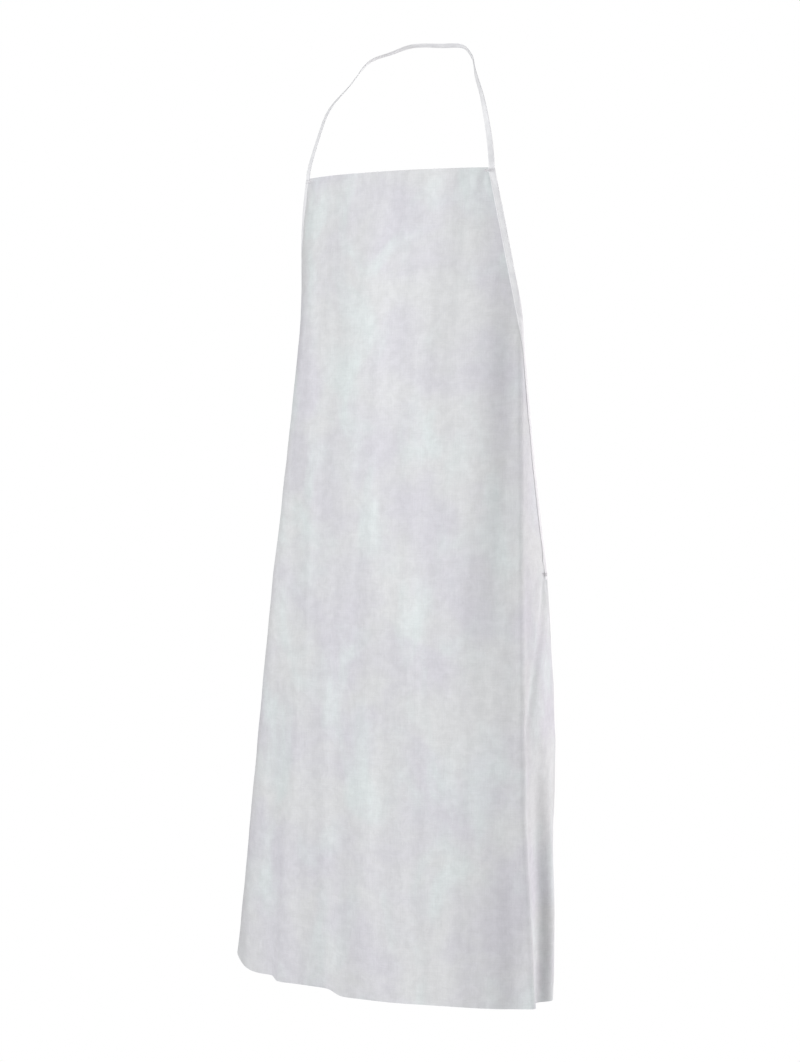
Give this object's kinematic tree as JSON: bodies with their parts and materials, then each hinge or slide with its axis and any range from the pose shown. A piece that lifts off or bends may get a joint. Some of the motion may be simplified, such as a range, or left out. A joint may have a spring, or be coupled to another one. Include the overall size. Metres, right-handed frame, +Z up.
{
  "type": "butcher apron",
  "caption": "Full-length bib apron: one wrapped sheet with bound slanting sides, a tape neck loop and tacks for waist ties.",
  "frame": {"origin": "middle of the neck loop's back run, where the wearer's neck holds it", "axes": "+Z up, the wearer looks along -Y, +X towards the wearer's left"},
  "size_m": [0.4571, 0.2201, 1.3002],
  "materials": {
    "sheet": "matt, cloudy white nonwoven sheet",
    "tape": "matt white folded tape",
    "thread": "white sewing thread"
  },
  "bodies": {
    "neck_loop": {"neck_strap": "tape"},
    "apron": {"apron_panel": "sheet", "edge_binding_left": "tape", "edge_binding_right": "tape", "strap_tack_left": "thread", "strap_tack_right": "thread", "tie_tack_left": "thread", "tie_tack_right": "thread"}
  },
  "joints": [
    {"name": "bib_swing", "type": "hinge", "parent": "neck_loop", "child": "apron", "pos_m": [0, -0.1253, -0.19], "axis": [-1, 0, 0], "range_deg": [-35, 45]}
  ]
}
